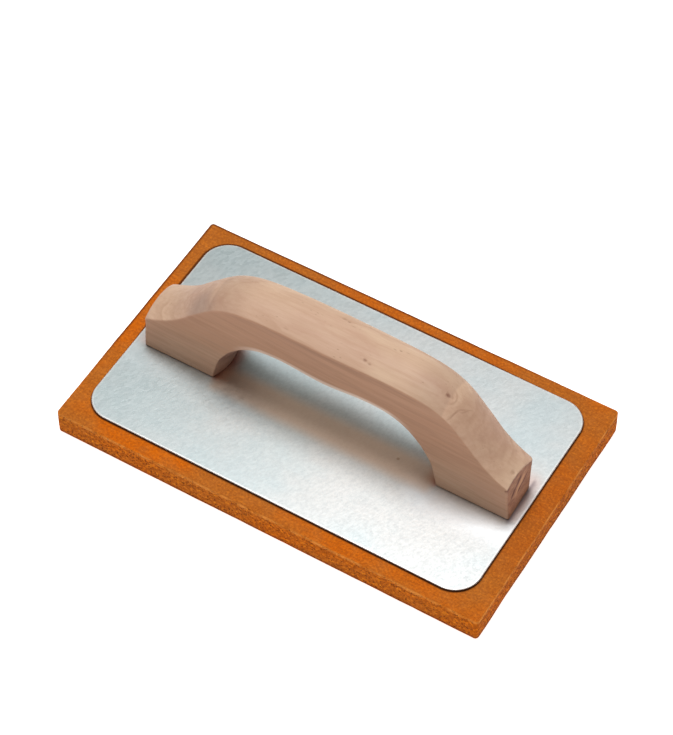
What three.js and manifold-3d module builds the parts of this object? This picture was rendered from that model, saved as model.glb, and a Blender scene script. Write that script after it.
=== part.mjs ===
// Sponge-rubber hand float: a cellular rubber pad, a thin metal backing plate
// bonded on top of it, and a wooden bridge handle held by four wood screws that
// are driven up through the plate before the pad is glued on.
// Millimetres, +Z up, +X along the length; the origin is the middle of the
// pad's underside.
import * as THREE from 'three';
import { mergeVertices } from 'three/addons/utils/BufferGeometryUtils.js';
import Module from 'manifold-3d';

// ---------------------------------------------------------------- dimensions
const PAD_L = 240, PAD_W = 144, PAD_T = 15, PAD_R = 1.2;

const FILM_T = 0.25;          // contact adhesive between the pad and the plate
const FILM_INSET = 0.75;      // it stops short of the plate's edge

const PLATE_L = 221, PLATE_W = 128, PLATE_T = 1.25, PLATE_R = 14.4;
const PLATE_X = -0.8;         // the plate's centre along the length

const HANDLE_Y = -2.0;        // middle of the handle's thickness
const HANDLE_W = 25.5;          // across its flat sides
const CROWN_GRIP = 4.6;       // how far the top and the arch swell in the middle of the thickness
const CROWN_ARCH_FOOT = 3.0;  // the same where the arch meets the plate
const CROWN_RIGHT = 4.2, CROWN_LEFT = 4.8;    // the same on top, out at the ends of the feet
const FALL_RIGHT = 0.020, FALL_LEFT = 0.020;  // the top falls away to the far side there, per mm
const FALL_FROM = 76, FALL_TO = 103;          // the distances between which it comes in
const HANDLE_LAYERS = 12;     // steps through the thickness
const FAR_SIDE = [            // how much thicker the handle is on its far side, along the length
  [-110, 1.6], [-85, 1.3], [-60, 0.7], [-45, 1.2], [-20, 1.9], [0, 1.9], [20, 1.6], [40, 1.0], [58, 0.1],
  [75, -0.9], [110, -1.3],
];

// Half outline of the flat side, (distance from the middle, height above the plate).
// It runs past the sawn ends, which then trim it.
const OUTER = [[110, 0], [110, 6.5], [110, 13]];
const SLOPE = [
  [109.5, 19.15], [105.2, 21.4], [101.0, 23.6], [96.6, 25.9], [90.6, 29.8], [84.4, 35.3], [78.2, 42.2], [73.7, 46.8],
  [69.7, 51.0], [65.6, 54.5], [60.2, 57.6], [54.2, 59.7], [45, 61.2], [30, 61.8], [15, 61.8], [0, 61.7],
];
const ARCH = [                // from the foot's inner corner up to the middle
  [64.5, 0], [64.1, 3], [62.9, 8.4], [61.6, 13.9], [59.8, 18.4], [57.5, 22.3],
  [54.6, 26.8], [51.1, 30.6], [48.9, 32.6], [46.1, 34.8], [42.9, 36.8], [38.5, 38.7],
  [34, 39.9], [26, 40.6], [18, 40.2], [10, 39.2], [3, 38.5], [0, 38.4],
];
// The handle is worked by hand and leans a little to +X with height.
const LEAN_OUTER = 0.058, LEAN_ARCH = 0.012;

// The sawn ends of the feet: distance from the middle at the sole, how fast they
// lean in with height. The right one is a little twisted: its two side edges differ.
const END_RIGHT = { near: 104.9, nearLean: 0.083, far: 104.2, farLean: -0.032 };
const END_LEFT = 105.1, END_LEFT_LEAN = 0.060;

const SCREW_X = [-93, -75, 75, 93];
const SCREW_L = 20, SCREW_HEAD_R = 3.7, SCREW_R = 1.9, SCREW_CORE = 1.35, THREAD_PITCH = 1.8;
const CLEAR = 0.3;            // between a screw and what it passes through

const Z_FILM = PAD_T, Z_PLATE = PAD_T + FILM_T, Z_TOP = PAD_T + FILM_T + PLATE_T;

// ---------------------------------------------------------------- solids
const wasm = await Module();
wasm.setup();

function toManifold(geometry) {
  let g = geometry.clone();
  for (const name of ['normal', 'uv', 'uv1', 'color']) g.deleteAttribute(name);
  g = mergeVertices(g, 1e-4);
  return new wasm.Manifold(new wasm.Mesh({
    numProp: 3,
    vertProperties: new Float32Array(g.attributes.position.array),
    triVerts: new Uint32Array(g.index.array),
  }));
}

function toGeometry(manifold) {
  const m = manifold.getMesh();
  const n = m.vertProperties.length / m.numProp;
  const position = new Float32Array(n * 3);
  for (let i = 0; i < n; i++)
    for (let k = 0; k < 3; k++) position[3 * i + k] = m.vertProperties[m.numProp * i + k];
  const g = new THREE.BufferGeometry();
  g.setAttribute('position', new THREE.BufferAttribute(position, 3));
  g.setIndex(new THREE.BufferAttribute(new Uint32Array(m.triVerts), 1));
  const flat = g.toNonIndexed();
  flat.computeVertexNormals();
  return flat;
}

// A flat slab with rounded corners, lying between two heights.
function slab(length, width, radius, z0, z1, segments, cx = 0, cy = 0) {
  const a = length / 2, b = width / 2, r = radius;
  const s = new THREE.Shape();
  s.moveTo(cx - a + r, cy - b);
  s.lineTo(cx + a - r, cy - b);
  s.absarc(cx + a - r, cy - b + r, r, -Math.PI / 2, 0, false);
  s.lineTo(cx + a, cy + b - r);
  s.absarc(cx + a - r, cy + b - r, r, 0, Math.PI / 2, false);
  s.lineTo(cx - a + r, cy + b);
  s.absarc(cx - a + r, cy + b - r, r, Math.PI / 2, Math.PI, false);
  s.lineTo(cx - a, cy - b + r);
  s.absarc(cx - a + r, cy - b + r, r, Math.PI, 1.5 * Math.PI, false);
  const g = new THREE.ExtrudeGeometry(s, { depth: z1 - z0, bevelEnabled: false, curveSegments: segments });
  g.translate(0, 0, z0);
  return g;
}

// A solid of revolution about the vertical line at x, from [radius, z] pairs.
function turned(profile, x, y, segments) {
  const g = new THREE.LatheGeometry(profile.map(([r, z]) => new THREE.Vector2(r, z)), segments);
  g.rotateX(Math.PI / 2);
  g.translate(x, y, 0);
  return g;
}

// ---------------------------------------------------------------- handle
// One vertex of the side outline: where it is, which way it swells, and how far.
function handleOutline() {
  const spline = (pts, n) => {
    const c = new THREE.CatmullRomCurve3(pts.map(([x, z]) => new THREE.Vector3(x, 0, z)), false, 'centripetal');
    return c.getSpacedPoints(n).map((p) => [p.x, p.z]);
  };
  const end = spline(OUTER, 3);
  const slope = spline(SLOPE, 36);
  const arch = spline(ARCH, 34);
  const path = [];
  const put = (side, [x, z], lean, tag) => path.push({ x: side * x + lean * z, z, tag });
  // right foot, over the top, left foot, and back under the arch
  put(1, ARCH[0], LEAN_ARCH, 'toe');
  put(1, [78, 0], 0, 'sole');
  put(1, [91, 0], 0, 'sole');
  for (let i = 0; i < end.length; i++) put(1, end[i], LEAN_OUTER, i === 0 ? 'heel' : 'end');
  for (let i = 0; i < slope.length; i++) put(1, slope[i], LEAN_OUTER, 'top');
  for (let i = slope.length - 2; i >= 0; i--) put(-1, slope[i], LEAN_OUTER, 'top');
  for (let i = end.length - 1; i >= 0; i--) put(-1, end[i], LEAN_OUTER, i === 0 ? 'heel' : 'end');
  put(-1, [91, 0], 0, 'sole');
  put(-1, [78, 0], 0, 'sole');
  put(-1, ARCH[0], LEAN_ARCH, 'toe');
  for (let i = 1; i < arch.length; i++) put(-1, arch[i], LEAN_ARCH, 'arch');
  for (let i = arch.length - 2; i > 0; i--) put(1, arch[i], LEAN_ARCH, 'arch');

  const n = path.length;
  for (let i = 0; i < n; i++) {
    const p = path[i], a = path[(i + n - 1) % n], b = path[(i + 1) % n];
    // the outline runs anticlockwise, so its outward normal is on the right
    const u = new THREE.Vector2(p.x - a.x, p.z - a.z).normalize();
    const v = new THREE.Vector2(b.x - p.x, b.z - p.z).normalize();
    const d = new THREE.Vector2(u.y + v.y, -(u.x + v.x)).normalize();
    if (p.tag === 'sole') d.set(0, 0);
    if (p.tag === 'toe') d.set(-Math.sign(p.x), 0);
    if (p.tag === 'heel') d.set(Math.sign(p.x), 0);
    p.d = d;
    p.fall = 0;
    if (p.tag === 'top' || p.tag === 'end') {
      const k = Math.min(1, Math.max(0, (Math.abs(p.x) - FALL_FROM) / (FALL_TO - FALL_FROM)));
      p.swell = CROWN_GRIP + ((p.x > 0 ? CROWN_RIGHT : CROWN_LEFT) - CROWN_GRIP) * k;
      p.fall = (p.x > 0 ? FALL_RIGHT : FALL_LEFT) * k;
    } else {
      p.swell = CROWN_ARCH_FOOT + (CROWN_GRIP - CROWN_ARCH_FOOT) * Math.min(1, p.z / 24);
    }
  }
  return path;
}

function handleGeometry() {
  const path = handleOutline();
  const n = path.length, w = HANDLE_W / 2;
  const thicker = (x) => {
    let i = 1;
    while (i < FAR_SIDE.length - 1 && x > FAR_SIDE[i][0]) i++;
    const [x0, d0] = FAR_SIDE[i - 1], [x1, d1] = FAR_SIDE[i];
    return d0 + (d1 - d0) * Math.min(1, Math.max(0, (x - x0) / (x1 - x0)));
  };
  const position = [];
  const levels = [];
  for (let j = 0; j <= HANDLE_LAYERS; j++) levels.push(Math.sin((j / HANDLE_LAYERS - 0.5) * Math.PI));
  for (const t of levels) {
    for (const p of path) {
      const c = p.swell, R = (w * w + c * c) / (2 * c);
      const off = Math.sqrt(Math.max(0, R * R - w * w * t * t)) - (R - c) - p.fall * w * (t + 1);
      position.push(p.x + p.d.x * off, HANDLE_Y - w + (w + thicker(p.x) / 2) * (t + 1), Z_TOP + p.z + p.d.y * off);
    }
  }
  const index = [];
  for (let j = 0; j < HANDLE_LAYERS; j++) {
    for (let i = 0; i < n; i++) {
      const k = (i + 1) % n;
      const a = j * n + i, b = j * n + k, c = (j + 1) * n + k, d = (j + 1) * n + i;
      index.push(a, c, b, a, d, c);
    }
  }
  // close the near side, facing -Y, and the far side, facing +Y
  for (const [first, far] of [[0, false], [HANDLE_LAYERS * n, true]]) {
    const contour = path.map((p, i) => new THREE.Vector2(position[3 * (first + i)], position[3 * (first + i) + 2]));
    for (const [a, b, c] of THREE.ShapeUtils.triangulateShape(contour, [])) {
      const area = (contour[b].x - contour[a].x) * (contour[c].y - contour[a].y)
        - (contour[c].x - contour[a].x) * (contour[b].y - contour[a].y);
      const [p, q, r] = (area > 0) !== far ? [a, b, c] : [a, c, b];
      index.push(first + p, first + q, first + r);
    }
  }
  const g = new THREE.BufferGeometry();
  g.setAttribute('position', new THREE.Float32BufferAttribute(position, 3));
  g.setIndex(index);
  return g;
}

// The space between the two sawn ends.
function betweenEnds() {
  const g = new THREE.BoxGeometry(2, 60, 120, 1, 8, 12);
  g.translate(0, HANDLE_Y, Z_TOP + 55);
  const v = g.attributes.position;
  const e = END_RIGHT;
  for (let i = 0; i < v.count; i++) {
    const z = v.getZ(i) - Z_TOP, k = (v.getY(i) - HANDLE_Y) / HANDLE_W + 0.5;
    v.setX(i, v.getX(i) > 0 ? (e.near - e.nearLean * z) * (1 - k) + (e.far - e.farLean * z) * k
      : -(END_LEFT - END_LEFT_LEAN * z));
  }
  return g;
}

// ---------------------------------------------------------------- screws
// Outline of a countersunk wood screw pointing up, grown by a clearance.
function screwProfile(grow, withThread) {
  const z0 = Z_PLATE + CLEAR - grow;           // face of the head
  const head = SCREW_HEAD_R + grow, core = SCREW_CORE, body = SCREW_R + grow;
  const zRim = Z_PLATE + CLEAR + 0.35;
  const zNeck = zRim + (SCREW_HEAD_R - SCREW_R);
  const zTip = Z_PLATE + CLEAR + SCREW_L + grow;
  const pts = [[0, z0], [head, z0], [head, zRim], [body, zNeck]];
  if (withThread) {
    const zThread = zNeck + 4;
    pts.push([body, zThread]);
    const turns = Math.floor((zTip - 3.2 - zThread) / THREAD_PITCH);
    for (let i = 0; i < turns; i++) {
      const z = zThread + i * THREAD_PITCH;
      pts.push([core, z + 0.45], [core, z + 1.0], [body, z + 1.5]);
    }
    pts.push([core, zThread + turns * THREAD_PITCH + 0.6], [0, zTip]);
  } else {
    pts.push([body, zTip - 2.4], [body * 0.35, zTip + 0.4], [0, zTip + 0.4]);
  }
  return pts;
}

function screwGeometry(x) {
  let solid = toManifold(turned(screwProfile(0, true), x, HANDLE_Y, 18));
  // cross recess in the head
  for (const turn of [0, Math.PI / 2]) {
    const slot = new THREE.BoxGeometry(4.2, 0.9, 2.4);
    slot.rotateZ(turn + 0.4);
    slot.translate(x, HANDLE_Y, Z_PLATE + CLEAR);
    solid = solid.subtract(toManifold(slot));
  }
  return toGeometry(solid);
}

// ---------------------------------------------------------------- assembly
const group = new THREE.Group();

function add(name, geometry, color, roughness, metalness) {
  const mesh = new THREE.Mesh(geometry, new THREE.MeshStandardMaterial({ color, roughness, metalness }));
  mesh.name = name;
  group.add(mesh);
}

const bores = SCREW_X.map((x) => toManifold(turned(screwProfile(CLEAR, false), x, HANDLE_Y, 18)));

const pad = slab(PAD_L, PAD_W, PAD_R, 0, PAD_T, 3);

const film = slab(PLATE_L - 2 * FILM_INSET, PLATE_W - 2 * FILM_INSET, PLATE_R - FILM_INSET,
  Z_FILM, Z_PLATE, 12, PLATE_X);

let plate = toManifold(slab(PLATE_L, PLATE_W, PLATE_R, Z_PLATE, Z_TOP, 12, PLATE_X));
// the bores start on the plate's underside, so each gets a wider mouth below it
for (let i = 0; i < SCREW_X.length; i++) {
  const r = SCREW_HEAD_R + CLEAR;
  const mouth = toManifold(turned([[0, Z_PLATE - 1], [r, Z_PLATE - 1], [r, Z_PLATE + 0.4], [0, Z_PLATE + 0.4]],
    SCREW_X[i], HANDLE_Y, 18));
  plate = plate.subtract(mouth.add(bores[i]));
}

let handle = toManifold(handleGeometry()).intersect(toManifold(betweenEnds()));
for (const bore of bores) handle = handle.subtract(bore);

add('sponge_rubber_pad', pad, 0xb8692e, 0.92, 0.0);
add('adhesive_film', film, 0x2a221c, 0.7, 0.0);
add('backing_plate', toGeometry(plate), 0xcfd4d4, 0.42, 1.0);
add('wood_handle', toGeometry(handle), 0xc9a487, 0.6, 0.0);
SCREW_X.forEach((x, i) => add(`screw_${i + 1}`, screwGeometry(x), 0xb9b9b4, 0.35, 1.0));

export default group;
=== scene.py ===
import math

import bpy
import numpy as np
from mathutils import Matrix, Vector


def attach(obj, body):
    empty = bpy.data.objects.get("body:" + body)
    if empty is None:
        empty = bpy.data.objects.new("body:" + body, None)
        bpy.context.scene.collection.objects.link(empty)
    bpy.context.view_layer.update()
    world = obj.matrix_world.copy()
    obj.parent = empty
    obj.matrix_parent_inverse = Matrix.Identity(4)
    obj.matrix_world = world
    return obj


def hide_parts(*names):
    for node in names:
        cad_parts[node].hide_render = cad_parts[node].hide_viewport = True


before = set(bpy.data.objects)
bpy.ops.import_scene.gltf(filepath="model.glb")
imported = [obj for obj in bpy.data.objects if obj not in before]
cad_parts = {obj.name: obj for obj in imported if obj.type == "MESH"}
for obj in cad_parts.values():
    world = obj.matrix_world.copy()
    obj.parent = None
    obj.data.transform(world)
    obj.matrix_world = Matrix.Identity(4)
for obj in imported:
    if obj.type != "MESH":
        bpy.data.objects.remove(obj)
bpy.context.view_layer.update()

MM = 0.001
rng = np.random.default_rng(20240817)

# ------------------------------------------------------------------ camera
def make_camera():
    data = bpy.data.cameras.new("camera")
    data.sensor_fit = "HORIZONTAL"
    data.sensor_width = 36.0
    data.lens = 144.93
    data.clip_start = 0.01
    data.clip_end = 50.0
    data.dof.use_dof = False
    cam = bpy.data.objects.new("camera", data)
    bpy.context.scene.collection.objects.link(cam)
    x = Vector((0.8576082, 0.5143029, -0.0008950))
    z = Vector((0.3133337, -0.5211073, 0.7938950))
    z.normalize()
    x = (x - z * x.dot(z)).normalized()
    y = z.cross(x)
    m = Matrix((x, y, z)).transposed().to_4x4()
    m.translation = Vector((0.4135839, -0.6889178, 1.1004682))
    cam.matrix_world = m
    bpy.context.scene.camera = cam


make_camera()

# ------------------------------------------------------------------ mesh helpers
def new_object(name, verts, faces, smooth=True):
    """verts in millimetres; faces is a list of index lists or an (n, 4) array."""
    me = bpy.data.meshes.new(name)
    me.from_pydata((np.asarray(verts, float) * MM).tolist(), [], [list(map(int, f)) for f in faces])
    me.validate(clean_customdata=False)
    if smooth:
        me.polygons.foreach_set("use_smooth", [True] * len(me.polygons))
    me.update()
    ob = bpy.data.objects.new(name, me)
    bpy.context.scene.collection.objects.link(ob)
    return ob


def add_attribute(ob, name, values):
    a = ob.data.attributes.new(name, "FLOAT", "POINT")
    a.data.foreach_set("value", np.asarray(values, np.float32))


def ring_faces(rows, n, closed=True, flip=False):
    """Quads between consecutive rows of n points."""
    j = np.arange(rows - 1)[:, None]
    m = n if closed else n - 1
    i = np.arange(m)[None, :]
    k = (i + 1) % n
    a, b, c, d = j * n + i, j * n + k, (j + 1) * n + k, (j + 1) * n + i
    q = np.stack([a, b, c, d] if not flip else [a, d, c, b], -1).reshape(-1, 4)
    return q


def hash3(ix, iy, iz, seed):
    """A repeatable random number in 0..1 for each integer cell."""
    h = (ix.astype(np.int64) * 73856093) ^ (iy.astype(np.int64) * 19349663) ^ (iz.astype(np.int64) * 83492791) ^ (seed * 2654435761)
    h = (h ^ (h >> 13)) * 1274126177
    h = h ^ (h >> 16)
    return (h & 0xFFFFFF).astype(float) / float(0xFFFFFF)


def value_noise(p, seed):
    """Smooth noise in -1..1 at points p, one cell per unit."""
    f = np.floor(p)
    t = p - f
    t = t * t * (3 - 2 * t)
    ix, iy, iz = f[:, 0], f[:, 1], f[:, 2]
    out = np.zeros(len(p))
    for dx in (0, 1):
        for dy in (0, 1):
            for dz in (0, 1):
                w = (t[:, 0] if dx else 1 - t[:, 0]) * (t[:, 1] if dy else 1 - t[:, 1]) * (t[:, 2] if dz else 1 - t[:, 2])
                out += w * hash3(ix + dx, iy + dy, iz + dz, seed)
    return out * 2 - 1


def pores(p, cell, share, r_low, r_high, seed):
    """Depth, 0..1, of round pits scattered one per cell at most, at points p in millimetres."""
    q = p / cell
    f = np.floor(q)
    depth = np.zeros(len(p))
    for dx in (-1, 0, 1):
        for dy in (-1, 0, 1):
            for dz in (-1, 0, 1):
                cx, cy, cz = f[:, 0] + dx, f[:, 1] + dy, f[:, 2] + dz
                on = hash3(cx, cy, cz, seed) < share
                c = np.stack([cx + hash3(cx, cy, cz, seed + 1), cy + hash3(cx, cy, cz, seed + 2), cz + hash3(cx, cy, cz, seed + 3)], -1)
                r = r_low + (r_high - r_low) * hash3(cx, cy, cz, seed + 4) ** 2
                d = np.linalg.norm(q - c, axis=1) * cell
                v = np.clip(1 - d / r, 0, 1)
                v = v * v * (3 - 2 * v)
                depth = np.maximum(depth, np.where(on, v * np.minimum(1, r / r_high + 0.35), 0))
    return depth


def centripetal(points, count):
    """Points evenly spaced along a smooth curve through the given ones."""
    p = np.array(points, float)
    p = np.vstack([2 * p[0] - p[1], p, 2 * p[-1] - p[-2]])
    out = []
    for i in range(1, len(p) - 2):
        p0, p1, p2, p3 = p[i - 1], p[i], p[i + 1], p[i + 2]
        d0, d1, d2 = (max(np.linalg.norm(b - a) ** 0.5, 1e-6) for a, b in ((p0, p1), (p1, p2), (p2, p3)))
        m1 = ((p1 - p0) / d0 - (p2 - p0) / (d0 + d1) + (p2 - p1) / d1) * d1
        m2 = ((p2 - p1) / d1 - (p3 - p1) / (d1 + d2) + (p3 - p2) / d2) * d1
        t = np.linspace(0, 1, 40, endpoint=False)[:, None]
        out.append((2 * t ** 3 - 3 * t ** 2 + 1) * p1 + (t ** 3 - 2 * t ** 2 + t) * m1 + (-2 * t ** 3 + 3 * t ** 2) * p2 + (t ** 3 - t ** 2) * m2)
    out.append(p[-2][None])
    return resample(np.vstack(out), count)


def resample(path, count):
    s = np.r_[0, np.cumsum(np.linalg.norm(np.diff(path, axis=0), axis=1))]
    t = np.linspace(0, s[-1], count)
    return np.stack([np.interp(t, s, path[:, k]) for k in range(path.shape[1])], -1)


def eased(path, sigma):
    """The path, evenly spaced, with its kinks rounded over about sigma; both ends stay put."""
    step = np.linalg.norm(path[1] - path[0])
    k = int(max(1, round(3 * sigma / step)))
    w = np.exp(-0.5 * (np.arange(-k, k + 1) * step / sigma) ** 2)
    w /= w.sum()
    head = 2 * path[0] - path[k:0:-1]
    tail = 2 * path[-1] - path[-2:-k - 2:-1]
    q = np.vstack([head, path, tail])
    return np.stack([np.convolve(q[:, i], w, "valid") for i in range(path.shape[1])], -1)


# ------------------------------------------------------------------ handle
HANDLE_Y, HANDLE_W = -2.0, 25.5
CROWN_GRIP, CROWN_ARCH_FOOT, CROWN_RIGHT, CROWN_LEFT = 4.6, 3.0, 4.2, 4.8
FALL, FALL_FROM, FALL_TO = 0.020, 76.0, 103.0
FAR_SIDE = [[-110, 1.6], [-85, 1.3], [-60, 0.7], [-45, 1.2], [-20, 1.9], [0, 1.9], [20, 1.6], [40, 1.0], [58, 0.1],
            [75, -0.9], [110, -1.3]]
Z_TOP = 16.5
SLOPE = [[109.5, 19.15], [105.2, 21.4], [101.0, 23.6], [96.6, 25.9], [90.6, 29.8], [84.4, 35.3], [78.2, 42.2], [73.7, 46.8],
         [69.7, 51.0], [65.6, 54.5], [60.2, 57.6], [54.2, 59.7], [45, 61.2], [30, 61.8], [15, 61.8], [0, 61.7]]
ARCH = [[64.5, 0], [64.1, 3], [62.9, 8.4], [61.6, 13.9], [59.8, 18.4], [57.5, 22.3],
        [54.6, 26.8], [51.1, 30.6], [48.9, 32.6], [46.1, 34.8], [42.9, 36.8], [38.5, 38.7],
        [34, 39.9], [26, 40.6], [18, 40.2], [10, 39.2], [3, 38.5], [0, 38.4]]
LEAN_OUTER, LEAN_ARCH = 0.058, 0.012
END_RIGHT = (104.9, 0.083, 104.2, -0.032)       # near edge and its lean, far edge and its lean
END_LEFT = (105.1, 0.060)
EDGE = 0.75          # how far the worn edge between side and crown reaches each way
ARRIS = 1.2         # the upright edges of the sawn ends
FAR_CORNER = 3.0    # and the far one of the right end
FOOT_R = 0.7        # the eased edge round each sole


def thicker(x):
    """How much the far side stands out at x."""
    xs, d = np.array(FAR_SIDE, float).T
    fine = np.linspace(-112, 112, 449)
    v = np.convolve(np.pad(np.interp(fine, xs, d), 20, mode="edge"), np.hanning(41) / np.hanning(41).sum(), "valid")
    return np.interp(x, fine, v)


def end_limit(side, y, z):
    """Distance of a sawn end from the middle, at height z above the plate."""
    if side > 0:
        k = (y - HANDLE_Y) / HANDLE_W + 0.5
        return (END_RIGHT[0] - END_RIGHT[1] * z) * (1 - k) + (END_RIGHT[2] - END_RIGHT[3] * z) * k
    return END_LEFT[0] - END_LEFT[1] * z + 0.0 * y


def unit_normals(path, side):
    t = np.gradient(path, axis=0)
    t /= np.linalg.norm(t, axis=1)[:, None]
    return np.stack([t[:, 1], -t[:, 0]], -1) * side


def crown_profile(w, c, n_arc, n_edge):
    """Points (y, out) over the crown from y = -w to y = w, with the edges rounded; c may be an array."""
    c = np.atleast_1d(c).astype(float)[:, None]
    R = (w * w + c * c) / (2 * c)
    start = np.arcsin(w / R) - EDGE / R
    th = start * np.linspace(-1, 1, n_arc)[None, :]
    y, o = R * np.sin(th), R * np.cos(th) - (R - c)
    t = np.linspace(0, 1, n_edge + 1)[:-1][None, :]
    fy = (1 - t) ** 2 * -w + 2 * t * (1 - t) * -w + t ** 2 * y[:, :1]
    fo = (1 - t) ** 2 * -EDGE + t ** 2 * o[:, :1]
    return np.hstack([fy, y, -fy[:, ::-1]]), np.hstack([fo, o, fo[:, ::-1]])


def make_handle():
    w = HANDLE_W / 2
    n_side, n_arc, n_edge = 26, 30, 5
    nt = n_arc + 2 * n_edge
    # the top, from beyond the right end to beyond the left one
    half = eased(centripetal(SLOPE, 1800), 2.4)
    right = np.stack([half[:, 0] + LEAN_OUTER * half[:, 1], half[:, 1]], -1)
    left = np.stack([-half[:, 0] + LEAN_OUTER * half[:, 1], half[:, 1]], -1)
    path = resample(np.vstack([right, left[-2::-1]]), 3600)
    s = np.r_[0, np.cumsum(np.linalg.norm(np.diff(path, axis=0), axis=1))]
    nrm = unit_normals(path, 1)
    k = np.clip((np.abs(path[:, 0]) - FALL_FROM) / (FALL_TO - FALL_FROM), 0, 1)
    crown = CROWN_GRIP + (np.where(path[:, 0] > 0, CROWN_RIGHT, CROWN_LEFT) - CROWN_GRIP) * k
    py, po = crown_profile(w, crown, n_arc, n_edge)
    po = po - FALL * k[:, None] * (py + w)
    sx = path[:, :1] + nrm[:, :1] * po
    sz = path[:, 1:] + nrm[:, 1:] * po
    sy = HANDLE_Y - w + (py + w) * (1 + thicker(path[:, :1]) / HANDLE_W)
    # the corner rounding of the sawn ends, as distance in from the end and from the side
    phi = np.radians(np.linspace(0, 90, n_edge + 1))[:-1]
    e_in = np.zeros(nt)
    e_in[:n_edge] = ARRIS * (1 - np.sin(phi))
    e_in[-n_edge:] = e_in[:n_edge][::-1]

    def corner(depth, j, side):
        """How far the sawn end stands back, the far upright edge of the right end being rounded most."""
        if side < 0 or j < n_edge:
            return e_in[j]
        q = np.clip(FAR_CORNER - depth, 0, FAR_CORNER)
        return FAR_CORNER - np.sqrt(np.maximum(FAR_CORNER ** 2 - q ** 2, 0))

    tR, tL, cR, cL = np.zeros(nt), np.zeros(nt), np.zeros((nt, 3)), np.zeros((nt, 3))
    for j in range(nt):
        gr = sx[:, j] - (end_limit(1, sy[:, j], sz[:, j]) - corner(sy[:, -1] - sy[:, j], j, 1))
        i = np.where(gr > 0)[0].max()
        f = gr[i] / (gr[i] - gr[i + 1])
        tR[j] = s[i] + f * (s[i + 1] - s[i])
        gl = -sx[:, j] - (end_limit(-1, sy[:, j], sz[:, j]) - e_in[j])
        i = np.where(gl > 0)[0].min()
        f = gl[i] / (gl[i] - gl[i - 1])
        tL[j] = s[i] - f * (s[i] - s[i - 1])
        cR[j] = [np.interp(tR[j], s, q[:, j]) for q in (sx, sy, sz)]
        cL[j] = [np.interp(tL[j], s, q[:, j]) for q in (sx, sy, sz)]
    # rows over the top, closer together at the two crests
    nb = 380
    g = 1 - 0.72 * (np.exp(-np.arange(nb - 1) / 5.0) + np.exp(-np.arange(nb - 1)[::-1] / 5.0))
    base = tR[0] + (tL[0] - tR[0]) * np.r_[0, np.cumsum(g)] / g.sum()
    ease = lambda q: 1 - np.clip(q, 0, 1) ** 2 * (3 - 2 * np.clip(q, 0, 1))
    wR, wL = ease((base - tR[0]) / 30.0), ease((tL[0] - base) / 30.0)
    top = np.zeros((nb, nt, 3))
    for j in range(nt):
        t = base + (tR[j] - tR[0]) * wR + (tL[j] - tL[0]) * wL
        for a, q in enumerate((sx, sy, sz)):
            top[:, j, a] = np.interp(t, s, q[:, j])

    def end_rows(side, crest):
        """Rows up a sawn end, from the sole to just under its crest."""
        zc = crest[0, 2]
        h = np.r_[0, 0.05, 0.14, 0.27, 0.45, 0.68, np.linspace(1.0, zc - 1.2, 24), zc - 0.75, zc - 0.4, zc - 0.18]
        rows = np.zeros((len(h), nt, 3))
        for i, hi in enumerate(h):
            z = np.where(hi < 1, hi, 1 + (hi - 1) / (zc - 1) * (crest[:, 2] - 1))
            y = crest[:, 1].copy()
            far = y[-1]
            k_up = np.clip((z - (crest[:, 2] - 2.5)) / 2.5, 0, 1)
            near_y = HANDLE_Y - w + ARRIS * (1 - np.cos(phi))
            far_y = (far - ARRIS * (1 - np.cos(phi)))[::-1]
            y[:n_edge] = near_y * (1 - k_up[:n_edge]) + y[:n_edge] * k_up[:n_edge]
            y[-n_edge:] = far_y * (1 - k_up[-n_edge:]) + y[-n_edge:] * k_up[-n_edge:]
            back = np.array([float(corner(far - y[j], j, side)) for j in range(nt)])
            rows[i, :, 0] = side * (end_limit(side, y, z) - back)
            rows[i, :, 1] = y
            rows[i, :, 2] = z
        return h, rows

    hR, endR = end_rows(1, cR)
    hL, endL = end_rows(-1, cL)
    strip = np.vstack([endR, top, endL[::-1]])
    count = len(strip)
    along = np.r_[hR, cR[0, 2] + base - tR[0], cR[0, 2] + tL[0] - tR[0] + cL[0, 2] - hL[::-1]]
    total = along[-1]
    # soften the two crests
    for crest_row in (len(hR), len(hR) + nb - 1):
        for _ in range(3):
            lo, hi = crest_row - 3, crest_row + 4
            strip[lo:hi] = 0.25 * strip[lo - 1:hi - 1] + 0.5 * strip[lo:hi] + 0.25 * strip[lo + 1:hi + 1]
    # the arch below
    arch = eased(centripetal(ARCH, 1800), 1.6)
    right = np.stack([arch[:, 0] + LEAN_ARCH * arch[:, 1], arch[:, 1]], -1)
    left = np.stack([-arch[:, 0] + LEAN_ARCH * arch[:, 1], arch[:, 1]], -1)
    under = resample(np.vstack([right, left[-2::-1]]), 3000)
    su = np.r_[0, np.cumsum(np.linalg.norm(np.diff(under, axis=0), axis=1))]
    nu = unit_normals(under, -1)
    nu[:, 1] *= np.clip(under[:, 1] / 1.2, 0, 1)
    nu /= np.linalg.norm(nu, axis=1)[:, None]
    hin, hout = su[-1] / 2, total / 2
    fold = np.minimum(along, total - along)
    inner_s = np.where(fold < 2, fold, 2 + (fold - 2) * (hin - 2) / (hout - 2))
    inner_s = np.where(along <= total / 2, inner_s, su[-1] - inner_s)
    ip = np.stack([np.interp(inner_s, su, under[:, a]) for a in (0, 1)], -1)
    im = np.stack([np.interp(inner_s, su, nu[:, a]) for a in (0, 1)], -1)
    ci = CROWN_ARCH_FOOT + (CROWN_GRIP - CROWN_ARCH_FOOT) * np.minimum(1, ip[:, 1] / 24)
    iy, io = crown_profile(w, ci, n_arc, n_edge)
    low = np.stack([ip[:, :1] + im[:, :1] * io, HANDLE_Y - w + (iy + w) * (1 + thicker(ip[:, :1]) / HANDLE_W),
                    np.maximum(ip[:, 1:] + im[:, 1:] * io, 0)], -1)
    low[along < 1e-6, :, 2] = 0
    low[along > total - 1e-6, :, 2] = 0

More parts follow.
